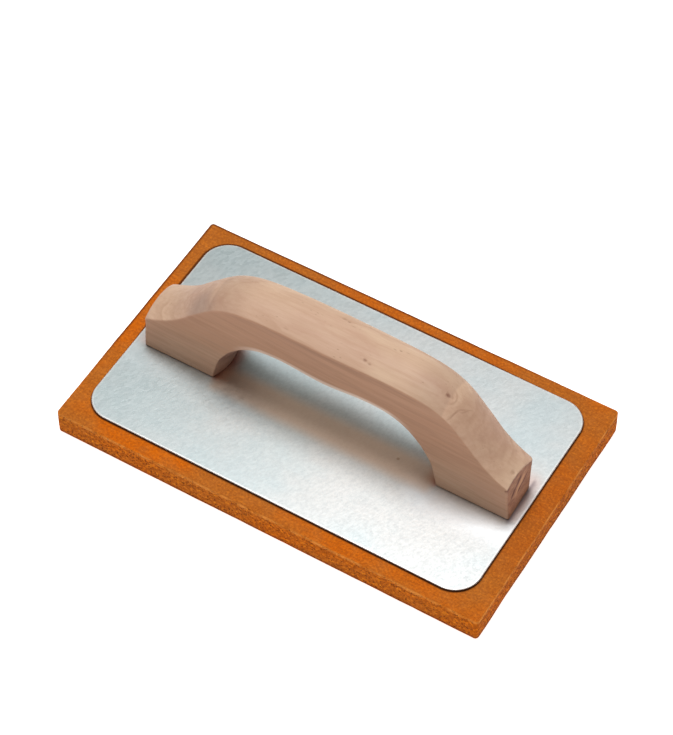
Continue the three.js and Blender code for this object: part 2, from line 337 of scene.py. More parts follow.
    # the flat sides, with points gathered near the sawn ends
    rows = []
    for u in range(count):
        tk = np.linspace(0, 1, 240)
        near_line = low[u, 0] * (1 - tk[:, None]) + strip[u, 0] * tk[:, None]
        d = np.linalg.norm(near_line - strip[u, 0], axis=1)
        dens = 1 + 3.0 * np.exp(-(d / 2.5) ** 2)
        cum = np.r_[0, np.cumsum((dens[1:] + dens[:-1]) / 2)]
        t = np.interp(np.linspace(0, cum[-1], n_side + 2)[1:-1], cum, tk)[:, None]
        near = low[u, 0] * (1 - t) + strip[u, 0] * t
        far = (low[u, -1] * (1 - t) + strip[u, -1] * t)[::-1]
        rows.append(np.vstack([near, strip[u], far, low[u, ::-1]]))
    v = np.array(rows)
    n = v.shape[1]
    # ease the edge round each sole
    for u in range(count):
        z = v[u, :, 2].max()
        if z < FOOT_R and min(along[u], total - along[u]) < 1:
            e = FOOT_R - math.sqrt(max(0.0, FOOT_R ** 2 - (FOOT_R - z) ** 2))
            t = np.roll(v[u, :, :2], -1, axis=0) - np.roll(v[u, :, :2], 1, axis=0)
            t /= np.maximum(np.linalg.norm(t, axis=1), 1e-9)[:, None]
            m = np.stack([t[:, 1], -t[:, 0]], -1)
            c = v[u, :, :2].mean(axis=0)
            if np.mean(((v[u, :, :2] - c) * m).sum(1)) < 0:
                m = -m
            v[u, :, :2] -= m * e
    flat = v.reshape(-1, 3).copy()
    # surface normals, for the small unevenness left by the spokeshave and sandpaper
    du = np.gradient(v, axis=0)
    dv = (np.roll(v, -1, axis=1) - np.roll(v, 1, axis=1)) / 2
    nr = np.cross(du, dv).reshape(-1, 3)
    nr /= np.maximum(np.linalg.norm(nr, axis=1), 1e-9)[:, None]
    centre = np.repeat(v.mean(axis=1), n, axis=0)
    if np.mean(((flat - centre) * nr).sum(1) > 0) < 0.5:
        nr = -nr
    off = 0.10 * value_noise(flat * np.array([1 / 26, 1 / 9, 1 / 12]), 11)
    off += 0.05 * value_noise(flat * np.array([1 / 9, 1 / 4, 1 / 5]), 12)
    cross = np.tile(np.arange(n), count)
    urow = np.repeat(np.arange(count), n)
    in_end = ((urow < len(hR)) | (urow >= len(hR) + nb)) & (cross >= n_side) & (cross < n_side + nt)
    # saw marks on the ends, slanting across the face
    saw = np.sin((flat[:, 2] * 0.73 - flat[:, 1] * 0.68) * 2.3 + 1.5 * value_noise(flat / 6.0, 14))
    off = np.where(in_end, 0.05 * saw + 0.07 * value_noise(flat / 3.0, 15), off)
    # pits and a small knot, where the wood shows them
    pit = np.zeros(len(flat))
    for x, y, z, rx, ry, deep in PITS:
        q = (flat - np.array([x, y, z - Z_TOP])) / np.array([rx, ry, 2.2])
        pit = np.maximum(pit, deep * np.clip(1.25 - np.linalg.norm(q, axis=1), 0, 1))
    off -= 0.5 * pit
    lift = np.clip(flat[:, 2] / 3.0, 0, 1)          # the sole stays true
    flat += nr * (off * lift)[:, None]
    flat[:, 2] += Z_TOP
    flat[:n, 2] = Z_TOP
    flat[-n:, 2] = Z_TOP
    faces = ring_faces(count, n).tolist()
    faces.append(list(range(n))[::-1])
    faces.append([(count - 1) * n + i for i in range(n)])
    a, b, c = (flat[[f[i] for f in faces[:-2]]] for i in (0, 1, 2))
    if np.mean((np.cross(b - a, c - a) * (a - np.repeat(v.mean(axis=1) + [0, 0, Z_TOP], n, axis=0)[:len(a)])).sum(1) > 0) < 0.5:
        faces = [f[::-1] for f in faces]
    ob = new_object("handle", flat, faces)
    add_attribute(ob, "pit", pit)
    height = v.reshape(-1, 3)[:, 2]
    crest_z = np.zeros(len(flat))
    crest_z[in_end] = np.where(urow[in_end] < len(hR), cR[cross[in_end] - n_side, 2], cL[cross[in_end] - n_side, 2])
    face_in = np.zeros(nt)
    face_in[n_edge:nt - n_edge] = 1.0
    face_in[:n_edge] = np.linspace(0, 1, n_edge + 1)[:-1] ** 2
    face_in[-n_edge:] = face_in[:n_edge][::-1]
    share = np.zeros(len(flat))
    share[in_end] = face_in[cross[in_end] - n_side] * np.where(urow[in_end] < len(hR), 1.0, 0.4)
    add_attribute(ob, "endface", share * np.clip((crest_z - height) / 0.9, 0, 1))
    # the lower arris of the grip, where the wood gets a painted highlight
    arris = np.zeros(n)
    arris[-n_edge:] = np.linspace(0.2, 1.0, n_edge)
    arris[0] = 0.7
    arris[2 * n_side + nt:2 * n_side + nt + n_edge] = 1.0
    tall = np.clip((height - 19.0) / 9.0, 0, 1)
    tall = tall * np.clip((52 - np.abs(v.reshape(-1, 3)[:, 0])) / 16, 0, 1)
    add_attribute(ob, "arris", arris[cross] * tall)
    down = np.linalg.norm(v.reshape(-1, 3) - np.repeat(v[:, n_side], n, axis=0), axis=1)
    reach = np.clip((66 - np.abs(v.reshape(-1, 3)[:, 0])) / 30, 0, 1)
    add_attribute(ob, "below_crease", np.where(cross < n_side, np.exp(-(down / 2.6) ** 2), 0) * reach)
    add_attribute(ob, "rim", np.where(in_end, np.exp(-((crest_z - height) / 1.6) ** 2), 0))
    return ob


# x, y, z of each pit, its half size along and across, and how deep it reads
PITS = [
    (-0.3, 7.4, 80.5, 2.4, 0.9, 0.7), (2.6, 6.6, 80.9, 1.4, 0.7, 0.8), (6.0, 5.2, 81.4, 2.2, 0.6, 0.5),
    (20.7, -9.3, 81.4, 1.5, 1.0, 0.8), (23.6, -10.2, 80.9, 1.7, 0.7, 0.6), (17.5, -8.6, 81.6, 1.3, 0.5, 0.5),
    (30.2, 2.7, 82.3, 1.6, 0.6, 0.55), (33.0, 3.6, 82.2, 1.2, 0.7, 0.7), (36.5, 4.6, 82.0, 1.9, 0.5, 0.45),
    (-22.0, -11.8, 80.2, 2.6, 0.6, 0.4), (-14.0, -10.4, 80.9, 1.9, 0.5, 0.4), (-41.0, 2.0, 82.4, 2.6, 0.4, 0.3),
    (64.2, -5.2, 78.6, 1.5, 1.2, 1.0), (66.2, -4.8, 77.4, 1.3, 0.7, 0.6), (61.6, -5.6, 79.6, 1.1, 0.6, 0.5),
    (48.0, -11.4, 79.6, 2.4, 0.4, 0.35), (11.0, 0.5, 82.5, 2.8, 0.4, 0.3), (-60.0, 4.0, 78.5, 2.0, 0.5, 0.35),
    (101.6, -6.5, 43.6, 1.4, 1.4, 0.7), (98.0, 4.0, 46.8, 1.1, 0.9, 0.4),
]


# ------------------------------------------------------------------ rounded rectangles
def rounded_loop(a, b, r, nx, ny, nc, cx=0.0, cy=0.0):
    """A closed loop of points round a rectangle of half sizes a, b."""
    pts = []
    def line(p, q, n):
        t = np.linspace(0, 1, n, endpoint=False)[:, None]
        pts.append(np.array(p) * (1 - t) + np.array(q) * t)
    def arc(x, y, a0, n):
        t = np.radians(a0) + np.linspace(0, math.pi / 2, n, endpoint=False)
        pts.append(np.stack([x + r * np.cos(t), y + r * np.sin(t)], -1))
    line((-a + r, -b), (a - r, -b), nx)
    arc(a - r, -b + r, -90, nc)
    line((a, -b + r), (a, b - r), ny)
    arc(a - r, b - r, 0, nc)
    line((a - r, b), (-a + r, b), nx)
    arc(-a + r, b - r, 90, nc)
    line((-a, b - r), (-a, -b + r), ny)
    arc(-a + r, -b + r, 180, nc)
    p = np.vstack(pts)
    p[:, 0] += cx
    p[:, 1] += cy
    return p


# ------------------------------------------------------------------ pad
PAD_L, PAD_W, PAD_T, PAD_R = 240.0, 144.0, 15.0, 1.5


def make_pad():
    nx, ny, nc = 400, 240, 5
    top_r, low_r = 0.8, 0.9
    profile = []                                    # (inset from the side, height)
    for d in np.r_[15.0, 13.0, np.linspace(11.2, top_r + 0.6, 18)]:
        profile.append((d, PAD_T))
    for t in np.radians(np.linspace(0, 90, 6)):
        profile.append((top_r - top_r * math.sin(t), PAD_T - top_r + top_r * math.cos(t)))
    for z in np.linspace(PAD_T - top_r - 0.35, low_r + 0.35, 34):
        profile.append((0.0, z))
    for t in np.radians(np.linspace(0, 90, 6)):
        profile.append((low_r - low_r * math.cos(t), low_r - low_r * math.sin(t)))
    for d in np.r_[low_r + 0.6, 2.2, 3.2, 4.6]:
        profile.append((d, 0.0))
    loops = []
    for d, z in profile:
        r = max(PAD_R - d, 0.25)
        p = rounded_loop(PAD_L / 2 - d, PAD_W / 2 - d, r, nx, ny, nc)
        loops.append(np.c_[p, np.full(len(p), z)])
    v = np.array(loops)
    n = v.shape[1]
    flat = v.reshape(-1, 3)
    du = np.gradient(v, axis=0)
    dv = (np.roll(v, -1, axis=1) - np.roll(v, 1, axis=1)) / 2
    nr = np.cross(du, dv).reshape(-1, 3)
    nr /= np.maximum(np.linalg.norm(nr, axis=1), 1e-9)[:, None]
    centre = np.array([0, 0, PAD_T / 2])
    if np.mean(((flat - centre) * nr).sum(1) > 0) < 0.5:
        nr = -nr
    side = np.clip(1 - np.abs(nr[:, 2]) * 1.2, 0, 1)
    # open cells along the cut sides, far fewer on the skin of the top
    big = pores(flat, 1.9, 0.75, 0.35, 0.85, 31)
    small = pores(flat + 7.3, 1.1, 0.6, 0.28, 0.55, 41)
    pore = np.maximum(big, small * 0.7)
    skin = pores(flat * np.array([1, 1, 1]) + 3.1, 2.6, 0.22, 0.25, 0.5, 51)
    depth = side * 0.34 * pore + (1 - side) * 0.10 * skin
    wave = 0.16 * value_noise(flat / 21.0, 61) + 0.07 * value_noise(flat / 6.5, 62)
    # the arris is a little worn, more in some places than others
    arris = np.exp(-((flat[:, 2] - (PAD_T - 0.3)) / 0.8) ** 2) * np.clip(side * 1.5, 0, 1)
    chip = np.clip(value_noise(flat / 4.0, 63) - 0.25, 0, 1)
    off = wave * np.clip(side + 0.35, 0, 1) - depth - 0.25 * arris * chip + 0.42
    hidden = (np.abs(flat[:, 0]) < 107) & (np.abs(flat[:, 1]) < 61)
    off = np.where(hidden, -0.05, off)
    on_bottom = flat[:, 2] <= 0.001
    off = np.where(on_bottom, 0.0, off)
    flat = flat + nr * off[:, None]
    flat[:, 2] = np.clip(flat[:, 2], 0.0, PAD_T - 0.01)
    flip = False
    faces = ring_faces(len(profile), n, flip=flip)
    # put the outward side out
    a, b, c = flat[faces[:, 0]], flat[faces[:, 1]], flat[faces[:, 2]]
    fn = np.cross(b - a, c - a)
    if np.mean((fn * (a - centre)).sum(1) > 0) < 0.5:
        faces = faces[:, ::-1]
        cap0, cap1 = list(range(n)), list(range((len(profile) - 1) * n, len(profile) * n))[::-1]
    else:
        cap0, cap1 = list(range(n))[::-1], list(range((len(profile) - 1) * n, len(profile) * n))
    # the loop runs anticlockwise seen from above: its top cap faces up that way round
    cap0, cap1 = list(range(n)), list(range((len(profile) - 1) * n, len(profile) * n))[::-1]
    ob = new_object("pad", flat, faces.tolist() + [cap0, cap1])
    add_attribute(ob, "pore", np.clip(side * pore * 1.1 + (1 - side) * skin * 0.5, 0, 1))
    add_attribute(ob, "side", side)
    return ob


# ------------------------------------------------------------------ plate
PLATE_L, PLATE_W, PLATE_T, PLATE_R, PLATE_X = 221.0, 128.6, 1.25, 14.4, -0.8
PLATE_Y, PLATE_TURN = 0.25, -0.0035       # it was glued on a shade askew
Z_PLATE = 15.25
SCREW_X = [-93.0, -75.0, 75.0, 93.0]


def make_plate():
    nx, ny, nc = 110, 60, 40
    r0 = 0.48
    profile = [(60.0, 0.0), (36.0, 0.0), (14.0, 0.0), (2.0, 0.0), (0.45, 0.0)]
    for t in np.radians(np.linspace(0, 90, 4)):
        profile.append((0.18 - 0.18 * math.sin(t), 0.18 - 0.18 * math.cos(t)))
    profile.append((0.0, 0.5))
    for t in np.radians(np.linspace(0, 90, 6)):
        profile.append((r0 - r0 * math.cos(t), PLATE_T - r0 + r0 * math.sin(t)))
    for d in (0.6, 1.0, 1.6, 2.5, 4.0, 6.0, 9.0, 14.1, 19.0, 25.0, 32.0, 42.0, 52.0, 60.0):
        profile.append((d, PLATE_T))
    loops = []
    for d, z in profile:
        r = max(PLATE_R - d, 0.3)
        p = rounded_loop(PLATE_L / 2 - d, PLATE_W / 2 - d, r, nx, ny, nc, PLATE_X)
        loops.append(np.c_[p, np.full(len(p), Z_PLATE + z)])
    v = np.array(loops)
    n = v.shape[1]
    flat = v.reshape(-1, 3).copy()
    flat[:, 1] += PLATE_Y
    flat[:, :2] = np.stack([flat[:, 0] - PLATE_TURN * flat[:, 1], flat[:, 1] + PLATE_TURN * flat[:, 0]], -1)
    faces = ring_faces(len(profile), n)
    cap_low = list(range(n))[::-1]
    cap_top = list(range((len(profile) - 1) * n, len(profile) * n))
    ob = new_object("plate", flat, faces.tolist() + [cap_low, cap_top])
    return ob


def turned(name, profile, x, y, segments=40):
    """A closed solid of revolution from (radius, z) pairs that start and end on the axis."""
    ang = np.linspace(0, 2 * math.pi, segments, endpoint=False)
    inner = profile[1:-1]
    v = [[x, y, profile[0][1]]]
    for r, z in inner:
        for a in ang:
            v.append([x + r * math.cos(a), y + r * math.sin(a), z])
    v.append([x, y, profile[-1][1]])
    f = []
    for i in range(segments):
        f.append([0, 1 + (i + 1) % segments, 1 + i])
    for j in range(len(inner) - 1):
        for i in range(segments):
            k = (i + 1) % segments
            a, b = 1 + j * segments, 1 + (j + 1) * segments
            f.append([a + i, a + k, b + k, b + i])
    last = 1 + (len(inner) - 1) * segments
    for i in range(segments):
        f.append([last + i, last + (i + 1) % segments, len(v) - 1])
    return new_object(name, v, f, smooth=False)


def cut(ob, cutters):
    """Cuts the cutters out of ob for good, and removes them."""
    for c in cutters:
        m = ob.modifiers.new("cut", "BOOLEAN")
        m.operation = "DIFFERENCE"
        m.solver = "EXACT"
        m.object = c
        dg = bpy.context.evaluated_depsgraph_get()
        me = bpy.data.meshes.new_from_object(ob.evaluated_get(dg), preserve_all_data_layers=True, depsgraph=dg)
        ob.modifiers.clear()
        old = ob.data
        ob.data = me
        bpy.data.meshes.remove(old)
        me.name = ob.name
    for c in cutters:
        bpy.data.objects.remove(c)


HEAD_R, SHANK_R, CLEAR = 3.7, 1.9, 0.3


def bore_profile(z_low):
    rim = Z_PLATE + CLEAR + 0.35
    neck = rim + (HEAD_R - SHANK_R)
    tip = Z_PLATE + CLEAR + 20 + CLEAR
    g = CLEAR
    return [[0, z_low], [HEAD_R + g, z_low], [HEAD_R + g, rim], [SHANK_R + g, neck], [SHANK_R + g, tip - 2.4], [(SHANK_R + g) * 0.35, tip + 0.4], [0, tip + 0.4]]


# ------------------------------------------------------------------ node helpers
class Graph:
    """Short hands for building a material's nodes."""

    def __init__(self, name):
        self.mat = bpy.data.materials.new(name)
        self.mat.use_nodes = True
        self.t = self.mat.node_tree
        self.t.nodes.clear()
        self.out = self.t.nodes.new("ShaderNodeOutputMaterial")
        self.bsdf = self.t.nodes.new("ShaderNodeBsdfPrincipled")
        self.link(self.bsdf.outputs["BSDF"], self.out.inputs["Surface"])
        tc = self.t.nodes.new("ShaderNodeTexCoord")
        # object coordinates in millimetres
        self.mm = self.vmath("MULTIPLY", tc.outputs["Object"], (1000, 1000, 1000))

    def link(self, a, b):
        self.t.links.new(a, b)

    def put(self, socket, value):
        if value is None:
            return
        if hasattr(value, "is_output") or hasattr(value, "links"):
            self.link(value, socket)
        elif isinstance(value, (tuple, list)) and len(value) == 3 and socket.type == "RGBA":
            socket.default_value = (*value, 1.0)
        else:
            socket.default_value = value

    def node(self, kind, **props):
        n = self.t.nodes.new(kind)
        for k, v in props.items():
            setattr(n, k, v)
        return n

    def math(self, op, a, b=None, c=None, clamp=False):
        n = self.node("ShaderNodeMath", operation=op, use_clamp=clamp)
        self.put(n.inputs[0], a)
        if b is not None:
            self.put(n.inputs[1], b)
        if c is not None:
            self.put(n.inputs[2], c)
        return n.outputs[0]

    def vmath(self, op, a, b=None):
        n = self.node("ShaderNodeVectorMath", operation=op)
        self.put(n.inputs[0], a)
        if b is not None:
            self.put(n.inputs[1], b)
        return n.outputs["Value"] if op in ("LENGTH", "DOT_PRODUCT", "DISTANCE") else n.outputs["Vector"]

    def scaled(self, x, y, z, offset=(0, 0, 0)):
        v = self.vmath("MULTIPLY", self.mm, (x, y, z))
        return self.vmath("ADD", v, offset) if any(offset) else v

    def noise(self, vec, scale=1.0, detail=2.0, rough=0.5, distort=0.0):
        n = self.node("ShaderNodeTexNoise")
        self.put(n.inputs["Vector"], vec)
        n.inputs["Scale"].default_value = scale
        n.inputs["Detail"].default_value = detail
        n.inputs["Roughness"].default_value = rough
        n.inputs["Distortion"].default_value = distort
        return n.outputs["Fac"]

    def voronoi(self, vec, scale=1.0, feature="F1", randomness=1.0):
        n = self.node("ShaderNodeTexVoronoi", feature=feature)
        self.put(n.inputs["Vector"], vec)
        n.inputs["Scale"].default_value = scale
        n.inputs["Randomness"].default_value = randomness
        return n

    def ramp(self, value, low, high, to_low=0.0, to_high=1.0, smooth=True):
        n = self.node("ShaderNodeMapRange", interpolation_type="SMOOTHSTEP" if smooth else "LINEAR")
        self.put(n.inputs["Value"], value)
        n.inputs["From Min"].default_value = low
        n.inputs["From Max"].default_value = high
        n.inputs["To Min"].default_value = to_low
        n.inputs["To Max"].default_value = to_high
        return n.outputs["Result"]

    def mix(self, fac, a, b, mode="MIX"):
        n = self.node("ShaderNodeMix", data_type="RGBA", blend_type=mode)
        n.clamp_factor = True
        self.put(n.inputs["Factor"], fac)
        self.put(n.inputs[6], a)
        self.put(n.inputs[7], b)
        return n.outputs[2]

    def stroke(self, start, end, width, drop, wave=0.0, pitch=1.0):
        """1 on a thin line from start to end (millimetres), fading off it and toward its ends.

        The axis number drop is left out of the distance, so the line lies on whatever surface it is seen on."""
        keep = Vector([0.0 if i == drop else 1.0 for i in range(3)])
        a, d = Vector(start) * keep, (Vector(end) - Vector(start)) * keep
        length = d.length
        d.normalize()
        q = self.vmath("SUBTRACT", self.vmath("MULTIPLY", self.mm, tuple(keep)), tuple(a))
        u = self.vmath("DOT_PRODUCT", q, tuple(d))
        fall = self.vmath("SUBTRACT", q, self.vmath("MULTIPLY", self.join(u, u, u), tuple(d)))
        if wave:
            side = d.cross(Vector([1.0 if i == drop else 0.0 for i in range(3)])).normalized() * wave
            s = self.math("SINE", self.math("MULTIPLY", u, pitch))
            fall = self.vmath("SUBTRACT", fall, self.vmath("MULTIPLY", self.join(s, s, s), tuple(side)))
        off = self.vmath("LENGTH", fall)
        line = self.ramp(off, width * 0.35, width, 1.0, 0.0)
        line = self.math("MULTIPLY", line, self.ramp(u, -0.5, length * 0.2))
        return self.math("MULTIPLY", line, self.ramp(u, length * 0.75, length + 0.5, 1.0, 0.0))

    def from_outline(self, cx, cy, a, b, r, turn=0.0):
        """Millimetres outside (+) or inside (-) a rounded rectangle in plan."""
        x, y, z = self.split(self.mm)
        if turn:
            x, y = (self.math("ADD", x, self.math("MULTIPLY", y, turn)), self.math("SUBTRACT", y, self.math("MULTIPLY", x, turn)))
        qx = self.math("SUBTRACT", self.math("ABSOLUTE", self.math("SUBTRACT", x, cx)), a - r)
        qy = self.math("SUBTRACT", self.math("ABSOLUTE", self.math("SUBTRACT", y, cy)), b - r)
        far = self.vmath("LENGTH", self.join(self.math("MAXIMUM", qx, 0.0), self.math("MAXIMUM", qy, 0.0), 0.0))
        near = self.math("MINIMUM", self.math("MAXIMUM", qx, qy), 0.0)
        return self.math("SUBTRACT", self.math("ADD", far, near), r)

    def attribute(self, name):
        return self.node("ShaderNodeAttribute", attribute_name=name).outputs["Fac"]

    def split(self, vec):
        n = self.node("ShaderNodeSeparateXYZ")
        self.put(n.inputs[0], vec)
        return n.outputs

    def join(self, x, y, z):
        n = self.node("ShaderNodeCombineXYZ")
        for s, v in zip(n.inputs, (x, y, z)):
            self.put(s, v)
        return n.outputs[0]

    def normal(self):
        return self.node("ShaderNodeNewGeometry").outputs["True Normal"]

    def bump(self, height, distance, strength=1.0, below=None):
        n = self.node("ShaderNodeBump")
        n.inputs["Strength"].default_value = strength
        n.inputs["Distance"].default_value = distance
        self.put(n.inputs["Height"], height)
        if below is not None:
            self.put(n.inputs["Normal"], below)
        return n.outputs["Normal"]

    def finish(self, color, rough, normal=None, metallic=None, **more):
        self.put(self.bsdf.inputs["Base Color"], color)
        self.put(self.bsdf.inputs["Roughness"], rough)
        if metallic is not None:
            self.put(self.bsdf.inputs["Metallic"], metallic)
        if normal is not None:
            self.link(normal, self.bsdf.inputs["Normal"])
        for k, v in more.items():
            self.put(self.bsdf.inputs[k], v)
        return self.mat


def srgb(r, g, b):
    """A linear colour from 8-bit values."""
    f = lambda c: c / 12.92 if c <= 0.04045 else ((c + 0.055) / 1.055) ** 2.4
    return tuple(f(c / 255) for c in (r, g, b))


# ------------------------------------------------------------------ materials
def wood_material():
    g = Graph("beech")
    x, y, z = g.split(g.mm)
    # the tree's axis runs along the handle, far below it and dipping to the right; its rings wander
    wander = g.noise(g.scaled(1 / 62, 1 / 20, 1 / 20), detail=2.0)
    wander2 = g.noise(g.scaled(1 / 15, 1 / 6, 1 / 6, (7, 3, 1)), detail=2.0)
    zz = g.math("ADD", g.math("ADD", z, 62.0), g.math("MULTIPLY", x, 0.055))
    yy = g.math("ADD", y, -9.0)
    r = g.math("SQRT", g.math("ADD", g.math("MULTIPLY", zz, zz), g.math("MULTIPLY", yy, yy)))
    r = g.math("ADD", r, g.math("MULTIPLY", g.math("SUBTRACT", wander, 0.5), 13.0))
    r = g.math("ADD", r, g.math("MULTIPLY", g.math("SUBTRACT", wander2, 0.5), 1.8))
    # fibres bend round a small knot
    knot_far = g.vmath("DISTANCE", g.mm, KNOT)
    knot_pull = g.ramp(knot_far, 0.5, 9.0, 1.0, 0.0)
    r = g.math("ADD", r, g.math("MULTIPLY", knot_pull, 2.4))
    phase = g.math("FRACT", g.math("DIVIDE", r, 5.3))
    late = g.math("MULTIPLY", g.ramp(phase, 0.20, 0.86), g.ramp(phase, 0.90, 1.0, 1.0, 0.0))
    phase2 = g.math("FRACT", g.math("DIVIDE", g.math("ADD", r, g.math("MULTIPLY", wander2, 2.2)), 2.1))
    late2 = g.math("MULTIPLY", g.ramp(phase2, 0.30, 0.80), g.ramp(phase2, 0.84, 1.0, 1.0, 0.0))
    ring_strength = g.ramp(g.noise(g.scaled(1 / 38, 1 / 13, 1 / 13, (2, 9, 4)), detail=2.0), 0.34, 0.68, 0.10, 1.0)
    fine_strength = g.ramp(g.noise(g.scaled(1 / 30, 1 / 10, 1 / 10, (6, 2, 8)), detail=1.0), 0.42, 0.66, 0.0, 0.55)
    nx, ny, nz = g.split(g.normal())
    upward = g.ramp(nz, 0.15, 0.6)
    late = g.math("MULTIPLY", late, g.math("MULTIPLY", ring_strength, g.ramp(upward, 0.0, 1.0, 0.62, 1.0)))
    late2 = g.math("MULTIPLY", late2, fine_strength)
    # fibres along the grain
    tilt = g.join(x, y, g.math("ADD", z, g.math("MULTIPLY", x, 0.055)))
    fibre = g.noise(g.vmath("MULTIPLY", tilt, (1 / 44, 0.55, 0.55)), detail=4.0, rough=0.60)
    fine = g.noise(g.vmath("MULTIPLY", tilt, (1 / 8, 3.6, 3.6)), detail=2.0, rough=0.6)
    # short dark flecks, as beech has
    fleck_cell = g.voronoi(g.scaled(1 / 3.2, 0.95, 0.95, (1, 2, 3)))
    fleck = g.ramp(fleck_cell.outputs["Distance"], 0.08, 0.30, 1.0, 0.0)
    fr, fg, fb = g.split(fleck_cell.outputs["Color"])
    where = g.ramp(g.noise(g.scaled(1 / 24, 1 / 9, 1 / 9, (4, 4, 1)), detail=2.0), 0.46, 0.62)
    fleck = g.math("MULTIPLY", g.math("MULTIPLY", fleck, where), g.ramp(fr, 0.62, 1.0, 0.0, 1.0))
    # broad drift of hue
    drift = g.noise(g.scaled(1 / 48, 1 / 18, 1 / 18, (3, 1, 7)), detail=3.0)
    pale, pink = srgb(*WOOD_PALE), srgb(*WOOD_PINK)
    base = g.mix(g.ramp(drift, 0.32, 0.66), pale, pink)
    base = g.mix(g.math("MULTIPLY", late, 0.34), base, srgb(*WOOD_LATE))
    base = g.mix(g.math("MULTIPLY", late2, 0.22), base, srgb(190, 140, 118))
    base = g.mix(g.ramp(fibre, 0.36, 0.70, 0.0, 0.24), base, srgb(*WOOD_LATE))
    base = g.mix(g.ramp(fine, 0.35, 0.75, 0.0, 0.10), base, srgb(170, 126, 96))
    base = g.mix(g.math("MULTIPLY", fleck, 0.42), base, srgb(128, 84, 58))
    # the sides were planed; painted shade darkens them, more so higher up
    flank = g.ramp(g.math("ABSOLUTE", ny), 0.55, 0.95)
    base = g.mix(g.math("MULTIPLY", g.math("MULTIPLY", flank, g.ramp(z, 22, 52, 0.55, 1.0)), 0.86), base, srgb(*WOOD_FLANK_SHADE))
    base = g.mix(g.math("MULTIPLY", g.attribute("below_crease"), 0.30), base, srgb(134, 96, 76))
    streaks = g.noise(g.vmath("MULTIPLY", tilt, (1 / 34, 0.32, 0.40)), detail=3.0, rough=0.6)
    base = g.mix(g.math("MULTIPLY", flank, g.ramp(streaks, 0.46, 0.64, 0.0, 0.20)), base, srgb(138, 102, 80))
    base = g.mix(g.math("MULTIPLY", flank, g.ramp(streaks, 0.30, 0.44, 0.20, 0.0)), base, srgb(204, 158, 130))
    # painted highlight: the lower arris of the grip is made pale, standing in for the light it catches
    base = g.mix(g.math("MULTIPLY", g.attribute("arris"), g.ramp(fibre, 0.3, 0.7, 0.72, 0.40)), base, srgb(244, 224, 208))
    # where fibres are cut across, the wood drinks in dirt and goes darker
    across = g.ramp(g.math("ABSOLUTE", nx), 0.30, 0.80)
    cloud = g.noise(g.scaled(1 / 7, 1 / 9, 1 / 7, (1, 5, 9)), detail=3.0, rough=0.6)
    base = g.mix(g.math("MULTIPLY", across, g.ramp(cloud, 0.3, 0.7, 0.44, 0.66)), base, srgb(*WOOD_CROSS))
    # a smudge where the thumb comes down on the left slope
    thumb = g.vmath("DISTANCE", g.mm, (-72.0, -13.0, 66.0))
    base = g.mix(g.math("MULTIPLY", g.ramp(thumb, 3.0, 15.0, 0.52, 0.0), upward), base, srgb(142, 118, 108))
    end = g.attribute("endface")
    grain_dots = g.voronoi(g.scaled(0.5, 2.6, 2.6), feature="F1").outputs["Distance"]
    end_col = g.mix(g.ramp(grain_dots, 0.1, 0.5), srgb(132, 84, 62), srgb(168, 120, 92))
    end_col = g.mix(g.ramp(g.noise(g.scaled(0.1, 0.16, 0.34, (8, 8, 2)), detail=4.0, rough=0.65), 0.40, 0.66, 0.0, 0.60), end_col, srgb(112, 68, 50))
    end_col = g.mix(g.stroke((104, 1.4, 38.0), (104, -8.5, 26.5), 2.0, 0), end_col, srgb(188, 140, 106))
    base = g.mix(g.math("MULTIPLY", end, 0.92), base, end_col)
    # painted shade on the far upright corner of the right end
    shade = g.math("MULTIPLY", g.math("MULTIPLY", end, g.ramp(x, 90, 98)), g.ramp(y, 6.5, 10.0))
    base = g.mix(g.math("MULTIPLY", shade, 0.55), base, srgb(84, 54, 46))
    # burns left by the saw
    for a, b, wide in (((103.1, -1.4, 39.9), (103.7, -12.9, 28.4), 1.5), ((103.3, 4.9, 35.2), (103.9, -6.6, 27.6), 1.2)):
        burn = g.math("MULTIPLY", g.stroke(a, b, wide, 0, 0.25, 0.8), g.ramp(cloud, 0.25, 0.6, 0.50, 0.85))
        burn = g.math("MULTIPLY", burn, g.math("MULTIPLY", end, g.ramp(x, 90, 98)))
        base = g.mix(burn, base, srgb(84, 44, 34))
    # scorched rim here and there along the crest of the sawn end, with painted shade added all along its far corner
    patch = g.ramp(g.noise(g.scaled(0.25, 0.3, 0.3, (4, 6, 8)), detail=3.0, rough=0.6), 0.40, 0.60)
    right_end = g.ramp(x, 60, 80)
    rim = g.math("MULTIPLY", g.math("MULTIPLY", g.attribute("rim"), right_end), g.math("MAXIMUM", patch, g.ramp(y, 3.5, 8.0)))
    base = g.mix(g.math("MULTIPLY", rim, 0.70), base, srgb(96, 56, 42))
    # pits
    pit = g.attribute("pit")
    base = g.mix(g.math("MULTIPLY", g.ramp(pit, 0.12, 0.85), 0.62), base, srgb(120, 74, 54))
    # the knot's faint ring, and two hair lines below it where the growth layers come to the surface
    halo = g.math("MULTIPLY", g.ramp(knot_far, 3.2, 3.8), g.ramp(knot_far, 4.0, 4.8, 1.0, 0.0))
    halo = g.math("MULTIPLY", halo, g.ramp(x, KNOT[0] - 0.5, KNOT[0] + 2.5))
    base = g.mix(g.math("MULTIPLY", halo, 0.22), base, srgb(142, 96, 72))
    for a, b, wide in HAIR_LINES:
        hair = g.math("MULTIPLY", g.stroke(a, b, wide, 2, 0.32, 0.8), upward)
        base = g.mix(g.math("MULTIPLY", hair, 0.24), base, srgb(138, 92, 70))
    # painted shadow: a dark line where the sole meets the plate
    low = g.ramp(z, 16.7, 17.5, 0.9, 0.0)
    base = g.mix(g.math("MULTIPLY", low, g.ramp(patch, 0.0, 1.0, 0.7, 0.95)), base, srgb(74, 40, 30))
